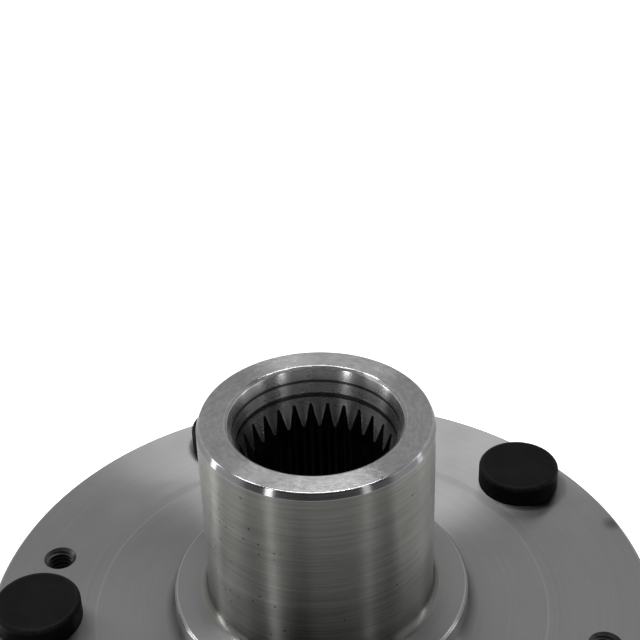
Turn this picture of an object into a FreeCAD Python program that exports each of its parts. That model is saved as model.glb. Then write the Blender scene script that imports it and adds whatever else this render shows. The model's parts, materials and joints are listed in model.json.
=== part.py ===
import FreeCAD, Part

import math
import os

# A driving wheel hub for a press-in bearing, with five pressed-in wheel studs.
# Units are millimetres. The hub's axis is Z, its neck points to +Z (inboard), and z = 0 is
# the outboard face of the flange, which the brake disc and the wheel sit against.

# Flange. Its rim stands outside the stud circle, and the stud heads seat on a ring turned lower.
RIM_WIDTH = 10.35
FLANGE_THICKNESS = 11.0
INBOARD_EDGE_CHAMFER = 0.5
OUTBOARD_EDGE_CHAMFER = 1.2
HEAD_SEAT_MARGIN = 2.9
HEAD_SEAT_DEPTH = 0.2

# Relief turned into the outboard face, between the pilot and the wheel's seat
RELIEF_OUTER_RADIUS = 45.0
RELIEF_DEPTH = 1.0

# Shoulder that the bearing's inner ring is pressed against
SHOULDER_RADIUS = 29.5
SHOULDER_HEIGHT = 6.0
SHOULDER_EDGE_CHAMFER = 0.5
SHOULDER_FOOT_RADIUS = 4.0

# Journal that carries the bearing
JOURNAL_RADIUS = 22.5
JOURNAL_LENGTH = 40.0
JOURNAL_FOOT_RADIUS = 1.6
END_CHAMFER_WIDTH = 0.55
END_CHAMFER_HEIGHT = 1.35

# Bore from the neck's end face down to the spline: a broken edge, two cones with a short land
# between them, and a plain guide. Widths are across the wall and lengths along the axis.
MOUTH_EDGE_WIDTH = 0.6
MOUTH_EDGE_LENGTH = 0.45
OUTER_CONE_WIDTH = 0.65
OUTER_CONE_LENGTH = 2.05
LAND_LENGTH = 0.6
INNER_CONE_WIDTH = 0.65
INNER_CONE_LENGTH = 2.0
GUIDE_LENGTH = 1.1
GUIDE_CLEARANCE = 0.3

# Internal spline that takes the drive shaft. Its teeth end on a slender cone below the guide.
SPLINE_TEETH = 28
SPLINE_MINOR_RADIUS = 13.9
SPLINE_MAJOR_RADIUS = 15.0
SPLINE_ROOT_SHARE = 0.16
SPLINE_TIP_SHARE = 0.17
SPLINE_LEAD_LENGTH = 6.1
SPLINE_EXIT_CHAMFER = 1.3
SPLINE_PHASE_DEG = 138.7

# Pilot on the outboard side, which centres the brake disc and the wheel
PILOT_RADIUS = 32.0
PILOT_LENGTH = 13.5
PILOT_FOOT_GROOVE = 0.6
PILOT_LEAD_WIDTH = 1.2
PILOT_LEAD_LENGTH = 3.5

# Recess for the drive shaft's nut
NUT_RECESS_RADIUS = 23.0
NUT_RECESS_CHAMFER = 1.5
NUT_RECESS_CORNER_CHAMFER = 1.0
NUT_SEAT_HEIGHT = 1.0

# Wheel studs
STUD_COUNT = 5
STUD_CIRCLE_RADIUS = 57.15
STUD_PHASE_DEG = 38.9
STUD_THREAD_RADIUS = 6.0
STUD_REACH = 30.0
STUD_HEAD_RADIUS = 8.75
STUD_HEAD_HEIGHT = 4.7
STUD_HEAD_EDGE_WIDTH = 0.8
STUD_HEAD_EDGE_HEIGHT = 0.6
STUD_COLLAR_RADIUS = 6.4
STUD_COLLAR_LENGTH = 8.5
STUD_NECK_RADIUS = 5.3
STUD_TIP_RADIUS = 4.6
STUD_TIP_LENGTH = 1.4
STUD_HOLE_CHAMFER = 0.6

# Threaded holes for the screws that hold the brake disc on while the wheel is off
SCREW_HOLE_COUNT = 2
SCREW_HOLE_RADIUS = 3.0
SCREW_HOLE_CIRCLE_RADIUS = 57.15
SCREW_HOLE_PHASE_DEG = 164.9
SCREW_HOLE_CHAMFER = 0.4

# Values worked out from those above
WHEEL_FACE_Z = 0.0
FLANGE_RADIUS = STUD_CIRCLE_RADIUS + RIM_WIDTH
HEAD_SEAT_INNER_RADIUS = STUD_CIRCLE_RADIUS - STUD_HEAD_RADIUS - HEAD_SEAT_MARGIN
HEAD_SEAT_Z = WHEEL_FACE_Z + FLANGE_THICKNESS
INNER_FACE_Z = HEAD_SEAT_Z + HEAD_SEAT_DEPTH
SHOULDER_Z = HEAD_SEAT_Z + SHOULDER_HEIGHT
END_FACE_Z = SHOULDER_Z + JOURNAL_LENGTH
GUIDE_RADIUS = SPLINE_MAJOR_RADIUS + GUIDE_CLEARANCE
LAND_RADIUS = GUIDE_RADIUS + INNER_CONE_WIDTH
MOUTH_EDGE_RADIUS = LAND_RADIUS + OUTER_CONE_WIDTH
MOUTH_EDGE_Z = END_FACE_Z - MOUTH_EDGE_LENGTH
LAND_TOP_Z = MOUTH_EDGE_Z - OUTER_CONE_LENGTH
LAND_END_Z = LAND_TOP_Z - LAND_LENGTH
GUIDE_TOP_Z = LAND_END_Z - INNER_CONE_LENGTH
SPLINE_TOP_Z = GUIDE_TOP_Z - GUIDE_LENGTH
RELIEF_Z = WHEEL_FACE_Z + RELIEF_DEPTH
PILOT_END_Z = WHEEL_FACE_Z - PILOT_LENGTH
NUT_SEAT_Z = WHEEL_FACE_Z - NUT_SEAT_HEIGHT
STUD_TIP_Z = WHEEL_FACE_Z - STUD_REACH

# How far a cutting tool runs past the face that it breaks through
OVERRUN = 1.0
AXIS = FreeCAD.Vector(0, 0, 1)
ORIGIN = FreeCAD.Vector(0, 0, 0)


def polar(radius, angle_deg, z):
    angle = math.radians(angle_deg)
    return FreeCAD.Vector(radius * math.cos(angle), radius * math.sin(angle), z)


def copies(count, phase_deg):
    """Angles of evenly spaced copies round the hub's axis."""
    return [phase_deg + i * 360.0 / count for i in range(count)]


def rounded_wire(corners):
    """A closed wire in the XZ plane. Each corner is (radius from the axis, z, fillet radius)."""
    points = [FreeCAD.Vector(r, 0, z) for r, z, _ in corners]
    starts = []
    arcs = []
    ends = []
    for i, (_, _, fillet) in enumerate(corners):
        here = points[i]
        to_last = points[i - 1] - here
        to_next = points[(i + 1) % len(points)] - here
        if fillet <= 0:
            starts.append(here)
            arcs.append(None)
            ends.append(here)
            continue
        half_angle = to_last.getAngle(to_next) / 2
        # A fillet takes less than half of the shorter wall beside it.
        longest_tangent = 0.48 * min(to_last.Length, to_next.Length)
        tangent = min(fillet / math.tan(half_angle), longest_tangent)
        radius = tangent * math.tan(half_angle)
        to_last.normalize()
        to_next.normalize()
        bisector = (to_last + to_next).normalize()
        middle = here + bisector * (radius / math.sin(half_angle) - radius)
        start = here + to_last * tangent
        end = here + to_next * tangent
        starts.append(start)
        arcs.append(Part.Arc(start, middle, end).toShape())
        ends.append(end)
    edges = []
    for i, start in enumerate(starts):
        edges.append(Part.LineSegment(ends[i - 1], start).toShape())
        if arcs[i] is not None:
            edges.append(arcs[i])
    return Part.Wire(edges)


def turned(corners):
    """The solid that a lathe makes from a profile."""
    return Part.Face(rounded_wire(corners)).revolve(ORIGIN, AXIS, 360)


def hub_profile():
    inboard = [
        (SPLINE_MINOR_RADIUS, SPLINE_TOP_Z - SPLINE_LEAD_LENGTH, 0),
        (GUIDE_RADIUS, SPLINE_TOP_Z, 0),
        (GUIDE_RADIUS, GUIDE_TOP_Z, 0),
        (LAND_RADIUS, LAND_END_Z, 0),
        (LAND_RADIUS, LAND_TOP_Z, 0),
        (MOUTH_EDGE_RADIUS, MOUTH_EDGE_Z, 0),
        (MOUTH_EDGE_RADIUS + MOUTH_EDGE_WIDTH, END_FACE_Z, 0),
    ]
    neck = [
        (JOURNAL_RADIUS - END_CHAMFER_WIDTH, END_FACE_Z, 0),
        (JOURNAL_RADIUS, END_FACE_Z - END_CHAMFER_HEIGHT, 0),
        (JOURNAL_RADIUS, SHOULDER_Z, JOURNAL_FOOT_RADIUS),
        (SHOULDER_RADIUS - SHOULDER_EDGE_CHAMFER, SHOULDER_Z, 0),
        (SHOULDER_RADIUS, SHOULDER_Z - SHOULDER_EDGE_CHAMFER, 0),
        (SHOULDER_RADIUS, INNER_FACE_Z, SHOULDER_FOOT_RADIUS),
    ]
    flange = [
        (HEAD_SEAT_INNER_RADIUS, INNER_FACE_Z, 0),
        (HEAD_SEAT_INNER_RADIUS + HEAD_SEAT_DEPTH, HEAD_SEAT_Z, 0),
        (FLANGE_RADIUS - INBOARD_EDGE_CHAMFER, HEAD_SEAT_Z, 0),
        (FLANGE_RADIUS, HEAD_SEAT_Z - INBOARD_EDGE_CHAMFER, 0),
        (FLANGE_RADIUS, WHEEL_FACE_Z + OUTBOARD_EDGE_CHAMFER, 0),
        (FLANGE_RADIUS - OUTBOARD_EDGE_CHAMFER, WHEEL_FACE_Z, 0),
        (RELIEF_OUTER_RADIUS, WHEEL_FACE_Z, 0),
        (RELIEF_OUTER_RADIUS - RELIEF_DEPTH, RELIEF_Z, 0),
    ]
    outboard = [
        (PILOT_RADIUS - PILOT_FOOT_GROOVE, RELIEF_Z, 0),
        (PILOT_RADIUS - PILOT_FOOT_GROOVE, WHEEL_FACE_Z - PILOT_FOOT_GROOVE, 0),
        (PILOT_RADIUS, WHEEL_FACE_Z - 2 * PILOT_FOOT_GROOVE, 0),
        (PILOT_RADIUS, PILOT_END_Z + PILOT_LEAD_LENGTH, 0),
        (PILOT_RADIUS - PILOT_LEAD_WIDTH, PILOT_END_Z, 0),
        (NUT_RECESS_RADIUS + NUT_RECESS_CHAMFER, PILOT_END_Z, 0),
        (NUT_RECESS_RADIUS, PILOT_END_Z + NUT_RECESS_CHAMFER, 0),
        (NUT_RECESS_RADIUS, NUT_SEAT_Z - NUT_RECESS_CORNER_CHAMFER, 0),
        (NUT_RECESS_RADIUS - NUT_RECESS_CORNER_CHAMFER, NUT_SEAT_Z, 0),
        (SPLINE_MAJOR_RADIUS + SPLINE_EXIT_CHAMFER / 2, NUT_SEAT_Z, 0),
        (SPLINE_MINOR_RADIUS, NUT_SEAT_Z + SPLINE_EXIT_CHAMFER, 0),
    ]
    return inboard + neck + flange + outboard


def spline_gap(angle_deg):
    """The straight-flanked space between two teeth of the internal spline."""
    pitch_angle = 360.0 / SPLINE_TEETH
    root_half = pitch_angle * SPLINE_ROOT_SHARE / 2
    mouth_half = pitch_angle * (1 - SPLINE_TIP_SHARE) / 2
    # The tool starts inside the bore, where the flanks run on at the same slope.
    flank_slope = (mouth_half - root_half) / (SPLINE_MAJOR_RADIUS - SPLINE_MINOR_RADIUS)
    inner_radius = SPLINE_MINOR_RADIUS - OVERRUN / 4
    inner_half = mouth_half + flank_slope * (SPLINE_MINOR_RADIUS - inner_radius)
    bottom_z = NUT_SEAT_Z - OVERRUN
    corners = [
        polar(inner_radius, angle_deg - inner_half, bottom_z),
        polar(SPLINE_MAJOR_RADIUS, angle_deg - root_half, bottom_z),
        polar(SPLINE_MAJOR_RADIUS, angle_deg + root_half, bottom_z),
        polar(inner_radius, angle_deg + inner_half, bottom_z),
    ]
    outline = Part.makePolygon(corners + corners[:1])
    return Part.Face(outline).extrude(AXIS * (SPLINE_TOP_Z - bottom_z))


def flange_hole(circle_radius, angle_deg, radius, top_chamfer, bottom_chamfer):
    """A hole through the flange, with an edge broken at each end."""
    centre = polar(circle_radius, angle_deg, 0)
    start_z = WHEEL_FACE_Z - OVERRUN
    end_z = HEAD_SEAT_Z + OVERRUN
    tool = turned([
        (0, start_z, 0),
        (radius + bottom_chamfer + OVERRUN, start_z, 0),
        (radius, WHEEL_FACE_Z + bottom_chamfer, 0),
        (radius, HEAD_SEAT_Z - top_chamfer, 0),
        (radius + top_chamfer + OVERRUN, end_z, 0),
        (0, end_z, 0),
    ])
    tool.translate(centre)
    return tool


def make_hub():
    blank = turned(hub_profile())
    gap_phase = SPLINE_PHASE_DEG + 180.0 / SPLINE_TEETH
    tools = [spline_gap(angle) for angle in copies(SPLINE_TEETH, gap_phase)]
    for angle in copies(STUD_COUNT, STUD_PHASE_DEG):
        tools.append(flange_hole(STUD_CIRCLE_RADIUS, angle, STUD_COLLAR_RADIUS,
                                 0.0, STUD_HOLE_CHAMFER))
    for angle in copies(SCREW_HOLE_COUNT, SCREW_HOLE_PHASE_DEG):
        tools.append(flange_hole(SCREW_HOLE_CIRCLE_RADIUS, angle, SCREW_HOLE_RADIUS,
                                 SCREW_HOLE_CHAMFER, SCREW_HOLE_CHAMFER))
    return blank.cut(tools)


def make_stud(angle_deg):
    """A wheel stud. Its head seats on the flange's inboard face and its thread points outboard."""
    head_top_z = HEAD_SEAT_Z + STUD_HEAD_HEIGHT
    collar_end_z = HEAD_SEAT_Z - STUD_COLLAR_LENGTH
    stud = turned([
        (0, head_top_z, 0),
        (STUD_HEAD_RADIUS - STUD_HEAD_EDGE_WIDTH, head_top_z, 0),
        (STUD_HEAD_RADIUS, head_top_z - STUD_HEAD_EDGE_HEIGHT, 0),
        (STUD_HEAD_RADIUS, HEAD_SEAT_Z, 0),
        (STUD_COLLAR_RADIUS, HEAD_SEAT_Z, 0),
        (STUD_COLLAR_RADIUS, collar_end_z, 0),
        (STUD_NECK_RADIUS, collar_end_z, 0),
        (STUD_NECK_RADIUS, WHEEL_FACE_Z, 0),
        (STUD_THREAD_RADIUS, WHEEL_FACE_Z, 0),
        (STUD_THREAD_RADIUS, STUD_TIP_Z + STUD_TIP_LENGTH, 0),
        (STUD_TIP_RADIUS, STUD_TIP_Z, 0),
        (0, STUD_TIP_Z, 0),
    ])
    stud.translate(polar(STUD_CIRCLE_RADIUS, angle_deg, 0))
    return stud


def main():
    os.makedirs("parts", exist_ok=True)
    pieces = {"hub": make_hub()}
    for i, angle in enumerate(copies(STUD_COUNT, STUD_PHASE_DEG)):
        pieces[f"wheel_stud_{i + 1}"] = make_stud(angle)
    for name, shape in pieces.items():
        shape.exportStep(f"parts/{name}.step")
        print(name, "solids", len(shape.Solids), "valid", shape.isValid(), "volume", round(shape.Volume, 1))


main()
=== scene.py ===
import json
import math

import bmesh
import bpy
from bpy.props import FloatProperty, FloatVectorProperty, IntProperty, PointerProperty
from mathutils import Matrix, Vector


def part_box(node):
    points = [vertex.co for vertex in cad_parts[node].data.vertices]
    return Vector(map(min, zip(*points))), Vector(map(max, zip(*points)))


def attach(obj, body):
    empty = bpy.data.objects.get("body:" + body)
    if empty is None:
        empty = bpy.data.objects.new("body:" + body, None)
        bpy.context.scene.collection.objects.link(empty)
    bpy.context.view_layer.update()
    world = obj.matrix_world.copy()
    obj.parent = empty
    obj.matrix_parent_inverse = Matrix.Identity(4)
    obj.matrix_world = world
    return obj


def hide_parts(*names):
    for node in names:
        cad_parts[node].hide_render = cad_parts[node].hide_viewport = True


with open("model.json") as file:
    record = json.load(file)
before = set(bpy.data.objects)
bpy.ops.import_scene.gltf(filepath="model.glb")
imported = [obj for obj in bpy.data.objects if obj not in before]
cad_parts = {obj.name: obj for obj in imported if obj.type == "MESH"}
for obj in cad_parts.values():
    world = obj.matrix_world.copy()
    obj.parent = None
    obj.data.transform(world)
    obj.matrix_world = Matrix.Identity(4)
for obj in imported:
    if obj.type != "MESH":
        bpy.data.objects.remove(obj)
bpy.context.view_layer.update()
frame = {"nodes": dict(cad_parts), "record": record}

bl_info = {
    "name": "Wheel Hub",
    "version": (1, 0, 0),
    "blender": (4, 5, 0),
    "location": "View3D > Sidebar > Wheel Hub",
    "description": "A drive flange hub with a splined bore, a ground journal and five wheel studs",
    "category": "Add Mesh",
}

# What the frame gives: boxes and places in metres, and the mounts' own sizes in millimetres
MOUNTS = {mount["name"]: mount for mount in frame["record"]["mounts"]}
STUD_NODES = sorted(name for name in frame["nodes"] if name.startswith("wheel_stud"))
HUB_LOW, HUB_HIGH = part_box("hub")
STUD_LOW, STUD_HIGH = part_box(STUD_NODES[0])

MM = 0.001

# The most that one facet of a rounded edge turns, on a small fillet and on a wide one
SMALL_FILLET_FACET = math.radians(22.5)
WIDE_FILLET_FACET = math.radians(11.25)
# A fillet is wide when its radius is over this many times the strip held flat beside it
WIDE_FILLET = 10
# The most of a wall's length that one fillet takes
FILLET_SHARE = 0.45
# A corner that turns by this much or more counts as a whole edge
WHOLE_EDGE_TURN = math.radians(45)
# Half of the angle between two walls that are as good as in line
STRAIGHT_HALF_ANGLE = math.radians(89.5)
# Mesh edges that turn by more than this stay sharp
HUB_CREASE = math.radians(30)
STUD_CREASE = math.radians(35)
# Vertices that are closer than this, in metres, become one
MERGE_DISTANCE = 1e-7

# A 60 degree thread's crest, root and flank in shares of its pitch, and the slope of its flanks
CREST_SHARE = 1 / 8
ROOT_SHARE = 1 / 4
FLANK_SHARE = (1 - CREST_SHARE - ROOT_SHARE) / 2
FLANK_ANGLE = math.radians(30)

# Steps across a spline tooth's flank
FLANK_STEPS = 4
# How far a cutter runs past the faces that it cuts, and how many sides a plain one and a threaded
# one have
CUTTER_OVERRUN = 1.0 * MM
HOLE_SIDES = 48
THREAD_SIDES = 36

# Factors on bare steel's colour: on rounded edges, where they paint a highlight, in hollow corners,
# where they paint shade, in the darkest and the lightest patches, and in pits
EDGE_HIGHLIGHT_TONE = 1.25
HOLLOW_SHADE_TONE = 0.6
PATCH_TONES = (0.95, 1.05)
PIT_TONE = 0.35
# A pit's radius, as a share of the spacing between pits' places
PIT_SIZE = 0.22
# How far patches move its roughness either way, what marks add to it, and the factor on it all at
# rounded edges
PATCH_ROUGHNESS = 0.03
MARK_ROUGHNESS = 0.02
EDGE_ROUGHNESS = 0.6
# The specks' and pits' relief over that of the marks, and the factor on it all at rounded edges
SPECK_RELIEF = 0.04
PIT_RELIEF = 2.0
EDGE_RELIEF = 0.05
# A quarter turn, which lays the stretched highlights across the marks
ACROSS_MARKS = 0.25

# Single marks on the steel: x, y, z and radius in metres, and how dark the mark is
RIM_DARK_SPOT = (0.0628, 0.0205, 0.011, 0.0026, 0.5)
END_FACE_PIT = (0.01156, -0.01806, 0.057, 0.00025, 0.9)

# The lamps' places and sizes in metres. The narrow lamps stand on a circle round the neck, each
# with its direction in degrees and its share of the strip power.
KEY_PLACE = (0.035, 0.32, 0.87)
KEY_WIDTH = 0.47
SIDE_PLACE = (-0.34, 0.32, 0.87)
SIDE_WIDTH = 0.28
OVERHEAD_DEPTH = 0.14
STRIPS = ((9.0, 0.4), (171.0, 1.3), (229.0, 1.0), (311.0, 0.4))
STRIP_CIRCLE = 0.35
STRIP_HEIGHT = 0.12
STRIP_WIDTH = 0.04
STRIP_LENGTH = 0.3

# Where the room that the metal reflects changes from one brightness to the next, by a direction's
# rise over its run, and by the share of its run that points to the front
FRONT_RISE = (0.55, 0.75)
OVERHEAD_RISE = (1.0, 1.4)
FRONTWARD = (0.33, 0.45)
# Share of the background's brightness that the floor sends out by itself
FLOOR_GLOW = 0.5
WHITE = (1.0, 1.0, 1.0, 1.0)
# The nearest that the camera sees, in metres
CLIP_START = 0.01


def mount_size(mount, key):
    """A mount's size in metres. The record states it in millimetres."""
    return MOUNTS[mount]["dims"][key] * MM


def metres(name, value, description):
    return FloatProperty(name=name, description=description, default=value,
                         unit="LENGTH", precision=5)


def length(name, millimetres, description):
    return metres(name, millimetres * MM, description)


def angle(name, degrees, description):
    return FloatProperty(name=name, description=description, default=math.radians(degrees),
                         subtype="ANGLE")


def share(name, value, description):
    return FloatProperty(name=name, description=description, default=value,
                         min=0.0, max=1.0, subtype="FACTOR")


def power(name, watts, description):
    return FloatProperty(name=name, description=description, default=watts, min=0.0, unit="POWER")


def colour(name, value, description):
    return FloatVectorProperty(name=name, description=description, default=value,
                               size=3, min=0.0, max=1.0, subtype="COLOR")


class HubSizes(bpy.types.PropertyGroup):
    """Sizes of the turned hub. Heights are from the face that the wheel sits against."""

    flange_radius: metres("Flange radius", HUB_HIGH.x, "Outer radius of the flange")
    flange_thickness: length("Flange thickness", 11.0, "From the wheel's face to the stud head seat")
    flange_edge: length("Flange edge", 0.5, "Chamfer of the rim beside the stud heads")
    wheel_edge: length("Wheel side edge", 1.2, "Chamfer of the rim beside the wheel")
    head_seat_inner_radius: length("Head seat radius", 45.5, "Inner radius of the stud head seat")
    head_seat_depth: length("Head seat depth", 0.2, "How far the stud head seat lies below the web")
    head_seat_run: length("Head seat run", 2.5, "Width of the gentle step down to the head seat")
    head_seat_blend: length("Head seat blend", 8.0, "Hollow rounding where that step ends")
    seat_line_width: length("Seat line width", 0.5, "Brighter line where that step begins")
    relief_outer_radius: length("Relief radius", 45.0, "Outer radius of the relief in the wheel face")
    relief_depth: length("Relief depth", 1.0, "Depth of the relief in the wheel face")
    shoulder_radius: length("Shoulder radius", 29.5, "Ring that the bearing is pressed against")
    shoulder_z: metres("Shoulder height", MOUNTS["bearing_shoulder"]["pos_m"][2],
                       "Height of the face that the bearing is pressed against")
    shoulder_edge: length("Shoulder edge", 0.5, "Chamfer of the shoulder")
    shoulder_foot: length("Shoulder foot", 4.0, "Fillet between the shoulder and the flange")
    journal_radius: metres("Journal radius", mount_size("bearing_seat", "r_mm"),
                           "Radius of the ground journal")
    journal_foot: length("Journal foot", 1.6, "Fillet at the foot of the journal")
    end_z: metres("End face height", HUB_HIGH.z, "Height of the neck's end face")
    end_chamfer_width: length("End chamfer width", 0.55, "Chamfer of the neck's end, across")
    end_chamfer_height: length("End chamfer height", 1.35, "Chamfer of the neck's end, along")
    mouth_edge_width: length("Mouth edge width", 0.6, "Broken edge of the mouth, across")
    mouth_edge_length: length("Mouth edge length", 0.45, "Broken edge of the mouth, along")
    outer_cone_width: length("Outer cone width", 0.65, "Cone below the mouth's edge, across")
    outer_cone_length: length("Outer cone length", 2.05, "Cone below the mouth's edge, along")
    land_length: length("Land length", 0.6, "Plain land between the two cones")
    inner_cone_width: length("Inner cone width", 0.65, "Cone above the guide, across")
    inner_cone_length: length("Inner cone length", 2.0, "Cone above the guide, along")
    guide_length: length("Guide length", 1.1, "Plain bore above the spline")
    guide_clearance: length("Guide clearance", 0.3, "From the spline's roots to that bore")
    pilot_radius: metres("Pilot radius", mount_size("wheel_pilot", "r_mm"),
                         "Radius that centres the disc and the wheel")
    pilot_end_z: metres("Pilot end height", HUB_LOW.z, "Height of the pilot's end")
    pilot_foot: length("Pilot foot groove", 0.6, "Depth of the groove at the pilot's foot")
    pilot_lead_width: length("Pilot lead width", 1.2, "Tapered lead of the pilot, across")
    pilot_lead_length: length("Pilot lead length", 3.5, "Tapered lead of the pilot, along")
    nut_recess_radius: metres("Nut recess radius", mount_size("nut_recess", "r_mm"),
                              "Radius of the recess for the drive shaft's nut")
    nut_recess_edge: length("Nut recess edge", 1.5, "Chamfer at the recess's mouth")
    nut_recess_corner: length("Nut recess corner", 1.0, "Chamfer at the recess's bottom")
    nut_seat_z: metres("Nut seat height", MOUNTS["nut_seat"]["pos_m"][2],
                       "Height of the face under the drive shaft's nut")
    edge_break: length("Edge break", 0.12, "Rounding left on a machined edge")
    end_edge_break: length("End edge break", 0.25, "Rounding of the end face's two edges")


class SplineSizes(bpy.types.PropertyGroup):
    """Sizes of the internal spline."""

    teeth: IntProperty(name="Teeth", description="Number of teeth", default=28, min=6)
    minor_radius: length("Tip radius", 13.9, "Radius over the tooth tips")
    major_radius: length("Root radius", 15.0, "Radius at the roots between the teeth")
    tip_share: share("Tip share", 0.17, "Share of the pitch that a tooth's tip takes")
    root_share: share("Root share", 0.16, "Share of the pitch that a root takes")
    lead_length: length("Lead length", 6.1, "Length of the cone that the teeth end on")
    exit_chamfer: length("Exit chamfer", 1.3, "Chamfer of the teeth at the nut's side")
    phase: angle("Phase", 138.7, "Direction of the first tooth")


class StudSizes(bpy.types.PropertyGroup):
    """Sizes of a pressed-in wheel stud."""

    head_radius: metres("Head radius", (STUD_HIGH.x - STUD_LOW.x) / 2, "Radius of the head")
    head_top_z: metres("Head top height", STUD_HIGH.z, "Height of the head's top")
    head_edge: length("Head edge", 0.85, "Rounding of the head's upper edge")
    lower_edge: length("Lower edge", 0.1, "Rounding of the head's lower edge")
    edge_hold: length("Edge hold", 0.25, "Strip held flat beside the head's rounded edges")
    head_dish: length("Head dish", 0.12, "Depth of the shallow dish in the head's top")
    dish_share: share("Dish share", 0.55, "Radius of the dish over that of the head")
    dish_rim: length("Dish rim", 0.8, "Width of the slope round the dish")
    collar_radius: length("Collar radius", 6.4, "Radius over the serrated collar")
    collar_length: length("Collar length", 8.5, "Length of the serrated collar")
    collar_gap: length("Collar gap", 0.3, "From the head to the serrations")
    collar_chamfer: length("Collar chamfer", 0.5, "Chamfer at the collar's end")
    serrations: IntProperty(name="Serrations", description="Serrations round the collar",
                            default=36, min=12)
    serration_depth: length("Serration depth", 0.3, "Depth of the serrations")
    neck_radius: length("Neck radius", 5.3, "Radius between the collar and the thread")
    thread_radius: metres("Thread radius", mount_size("wheel_studs", "stud_r_mm"),
                          "Outer radius of the thread")
    thread_pitch: length("Thread pitch", 1.5, "Advance of the thread in one turn")
    thread_start_z: length("Thread start", -0.6, "Height at which the thread runs out")
    thread_gap: length("Thread gap", 0.2, "From the neck's lower end to the thread's start")
    run_out_slope: FloatProperty(name="Run-out slope", description="How fast the thread deepens",
                                 default=1.2, min=0.1)
    tip_radius: length("Tip radius", 4.6, "Radius of the stud's end")
    tip_length: length("Tip length", 1.4, "Length of the tapered end")
    hole_edge: length("Hole edge", 0.6, "Chamfer of the stud's hole in the wheel's face")


class ScrewHoleSizes(bpy.types.PropertyGroup):
    """Sizes of the threaded holes for the disc's retaining screws."""

    count: IntProperty(name="Holes", description="Number of holes",
                       default=MOUNTS["disc_screw_holes"]["dims"]["count"], min=1)
    radius: metres("Thread radius", mount_size("disc_screw_holes", "hole_r_mm"),
                   "Outer radius of the thread")
    pitch: length("Thread pitch", 1.0, "Advance of the thread in one turn")
    chamfer: length("Chamfer", 0.4, "Chamfer at both ends of the hole")
    phase: angle("Phase", 164.9, "Direction of the first hole")


class Finishes(bpy.types.PropertyGroup):
    """Colours and polish of the surfaces."""

    turned_colour: colour("Turned steel", (0.195, 0.195, 0.197), "The flange and the pilot")
    seat_line_colour: colour("Seat line", (0.218, 0.218, 0.22), "The line round the stud head seat")
    turned_roughness: share("Turned roughness", 0.36, "Roughness of the turned faces")
    faced_colour: colour("Faced steel", (0.213, 0.213, 0.214), "The neck's end face")
    faced_roughness: share("Faced roughness", 0.23, "Roughness of the end face")
    ground_colour: colour("Ground steel", (0.177, 0.179, 0.167), "The ground journal")
    ground_roughness: share("Ground roughness", 0.3, "Roughness of the journal")
    # Painted light: the cones in the neck's mouth get a far lighter copy of the hub's steel, so that
    # they look lit inside the bore
    bore_lit_colour: colour("Bored steel", (0.52, 0.52, 0.53), "The cones in the neck's mouth")
    bore_roughness: share("Bore roughness", 0.25, "Roughness of the cones")
    tooth_end_colour: colour("Tooth ends", (0.5, 0.5, 0.49), "The cone that the teeth end on")
    # Painted shade: a darker copy of the steel for the bore's groove and guide, standing in for the
    # shade there
    groove_shade_colour: colour("Groove", (0.11, 0.11, 0.11), "The bore's groove and guide")
    # Painted shade: the teeth get a near black copy of the steel, standing in for the shade deep in the
    # bore
    spline_shade_colour: colour("Broached steel", (0.028, 0.028, 0.028), "The spline's teeth")
    spline_roughness: share("Spline roughness", 0.42, "Roughness of the teeth")
    chamfer_colour: colour("Chamfer steel", (0.16, 0.16, 0.166), "The chamfer round the end face")
    chamfer_roughness: share("Chamfer roughness", 0.17, "Roughness of the chamfer round the end face")
    pitted_side: angle("Pitted side", 222.0, "Direction of the journal's side with most pits")
    thread_colour: colour("Tapped steel", (0.05, 0.05, 0.05), "The threaded holes")
    thread_roughness: share("Thread roughness", 0.45, "Roughness of the threaded holes")
    stud_colour: colour("Black oxide", (0.003, 0.003, 0.0032), "The studs")
    stud_roughness: share("Stud roughness", 0.5, "Roughness of the studs")


class StageSizes(bpy.types.PropertyGroup):
    """Camera, floor and light."""

    focal_length: FloatProperty(name="Focal length", description="Camera's focal length in millimetres",
                                default=84.23, min=10.0)
    elevation: angle("Camera elevation", 32.97, "How far the camera looks down")
    roll: angle("Camera roll", -1.759, "Turn of the camera about its own axis")
    distance: length("Camera distance", 279.81, "Along the view, to the neck's end face")
    aim_right: length("Aim right", -0.8145, "How far the neck's centre lies right of the view's")
    aim_down: length("Aim down", 18.295, "How far the neck's centre lies below the view's")
    floor_size: length("Floor size", 6000.0, "Width of the pale floor")
    floor_colour: colour("Floor", (0.82, 0.82, 0.82), "The floor")
    world_light: FloatProperty(name="World light", description="Strength of the even light all round",
                               default=0.55, min=0.0)
    front_level: share("Front level", 0.05, "Brightness of the room in front, in reflections")
    front_high_level: share("Front high level", 0.4, "The same, for the front's upper part")
    overhead_level: share("Overhead level", 0.08, "Brightness of the room overhead, in reflections")
    key_power: power("Key power", 5.3, "Power of the large lamp overhead")
    side_power: power("Side power", 2.2, "Power of the lamp to the left of it")
    strip_power: power("Strip power", 0.25, "Power of a narrow lamp whose share is 1")


def settings():
    return bpy.context.scene.wheel_hub


# Shader helpers

def feed(tree, sockets, values):
    """Gives each named or numbered socket its value, or a link from another node's output."""
    for key, value in values.items():
        if isinstance(value, bpy.types.NodeSocket):
            tree.links.new(value, sockets[key])
        else:
            sockets[key].default_value = value


def add_node(tree, kind, inputs=None, **options):
    """A shader node with its options set and its inputs fed."""
    made = tree.nodes.new(kind)
    for key, value in options.items():
        setattr(made, key, value)
    feed(tree, made.inputs, inputs or {})
    return made


def maths(tree, operation, first, second=0.0):
    return add_node(tree, "ShaderNodeMath", {0: first, 1: second}, operation=operation).outputs[0]


def remap(tree, value, to_low, to_high, from_low=0.0, from_high=1.0):
    """The value, moved from one range to the other and held inside it."""
    return add_node(tree, "ShaderNodeMapRange", {
        "Value": value, "From Min": from_low, "From Max": from_high,
        "To Min": to_low, "To Max": to_high}).outputs["Result"]


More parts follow.
